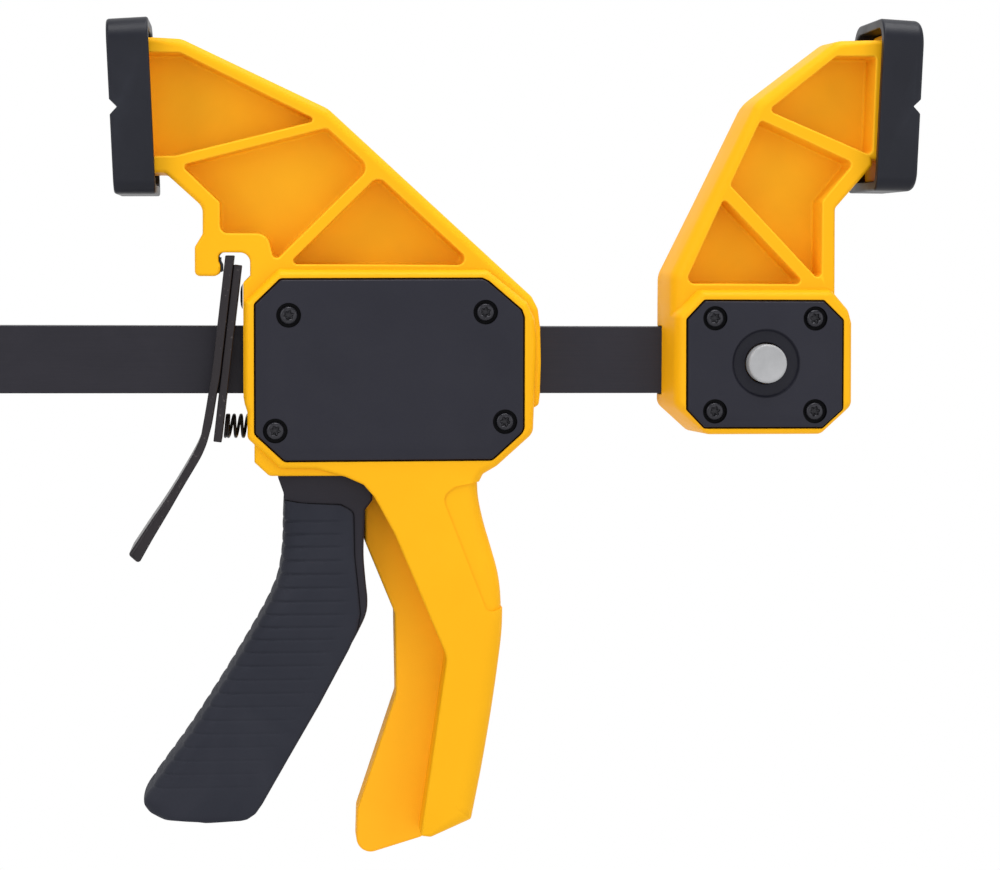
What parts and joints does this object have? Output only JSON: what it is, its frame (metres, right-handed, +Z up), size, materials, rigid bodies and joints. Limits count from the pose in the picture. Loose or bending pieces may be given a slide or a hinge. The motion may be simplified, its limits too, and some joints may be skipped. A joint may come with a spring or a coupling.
{
  "type": "quick release bar clamp",
  "caption": "One-handed bar clamp in spreader set-up: moulded trigger head with pistol grip slides on a flat steel bar, fixed moulded jaw with a push-button lock, soft pads facing outward.",
  "frame": {"origin": "centre of the upper flat of the trigger-side pad's face, above its V-groove", "axes": "+X along the bar, from the trigger side to the fixed jaw; +Z up, to the jaw tips; +Y away from the front"},
  "size_m": [0.5446, 0.0433, 0.2602],
  "materials": {
    "yellow_moulding": "glass-filled nylon, satin moulded surface",
    "black_cover": "fine-textured black moulding",
    "pad_rubber": "soft matt black",
    "trigger_plastic": "satin black moulding",
    "grip_rubber": "ribbed soft over-moulding",
    "bar_steel": "black oxide, smooth",
    "plate_steel": "brownish black oxide",
    "bright_steel": "bright drawn wire and turned steel",
    "screw_steel": "black zinc",
    "grey_button": "light grey satin moulding"
  },
  "bodies": {
    "head": {"main_body": "yellow_moulding", "front_cover_plate": "black_cover", "rear_cover_plate": "black_cover", "front_cover_screw_1": "screw_steel", "front_cover_screw_2": "screw_steel", "front_cover_screw_3": "screw_steel", "front_cover_screw_4": "screw_steel", "rear_cover_screw_1": "screw_steel", "rear_cover_screw_2": "screw_steel", "rear_cover_screw_3": "screw_steel", "rear_cover_screw_4": "screw_steel", "trigger_pivot_pin": "plate_steel", "trigger_side_pad": "pad_rubber", "fulcrum_strip": "plate_steel", "brake_stop": "pad_rubber", "brake_spring": "plate_steel", "drive_spring": "bright_steel"},
    "trigger": {"trigger_core": "trigger_plastic", "trigger_grip": "grip_rubber"},
    "drive_stack": {"drive_plate_1": "plate_steel", "drive_plate_2": "plate_steel", "drive_plate_3": "plate_steel"},
    "lever": {"release_lever": "plate_steel"},
    "brake": {"brake_plate": "plate_steel"},
    "bar_and_jaw": {"clamp_bar": "bar_steel", "jaw_body": "yellow_moulding", "jaw_front_cover": "black_cover", "jaw_rear_cover": "black_cover", "jaw_front_screw_1": "screw_steel", "jaw_front_screw_2": "screw_steel", "jaw_front_screw_3": "screw_steel", "jaw_front_screw_4": "screw_steel", "jaw_rear_screw_1": "screw_steel", "jaw_rear_screw_2": "screw_steel", "jaw_rear_screw_3": "screw_steel", "jaw_rear_screw_4": "screw_steel", "jaw_pad": "pad_rubber", "button_spring": "bright_steel"},
    "button": {"jaw_release_button": "grey_button", "jaw_lock_plunger": "bright_steel"}
  },
  "joints": [
    {"name": "bar_slide", "type": "slide", "parent": "head", "child": "bar_and_jaw", "axis": [1, 0, 0], "range_m": [-0.036, 0.3]},
    {"name": "trigger_squeeze", "type": "hinge", "parent": "head", "child": "trigger", "pos_m": [0.064, 0, -0.0731], "axis": [0, -1, 0], "range_deg": [0, 12], "stiffness_Nm_per_rad": 1.5, "springref_deg": -3.44},
    {"name": "drive_slide", "type": "slide", "parent": "head", "child": "drive_stack", "axis": [1, 0, 0], "range_m": [0, 0.0036], "deforming": ["drive_spring"]},
    {"name": "release_press", "type": "hinge", "parent": "head", "child": "lever", "pos_m": [0.0372, 0, -0.0666], "axis": [0, -1, 0], "range_deg": [0, 3.5], "stiffness_Nm_per_rad": 0.6, "springref_deg": -6.88},
    {"name": "brake_tilt", "type": "hinge", "parent": "head", "child": "brake", "pos_m": [0.0372, 0, -0.0666], "axis": [0, -1, 0], "range_deg": [0, 3.5], "deforming": ["brake_spring"]},
    {"name": "button_press", "type": "slide", "parent": "bar_and_jaw", "child": "button", "axis": [0, 1, 0], "range_m": [0, 0.004], "stiffness_N_per_m": 600, "springref_m": -0.004, "deforming": ["button_spring"]}
  ],
  "couplings": [
    {"joint": "drive_slide", "follows": "trigger_squeeze", "m_per_rad": 0.017},
    {"joint": "brake_tilt", "follows": "release_press", "ratio": 1}
  ]
}
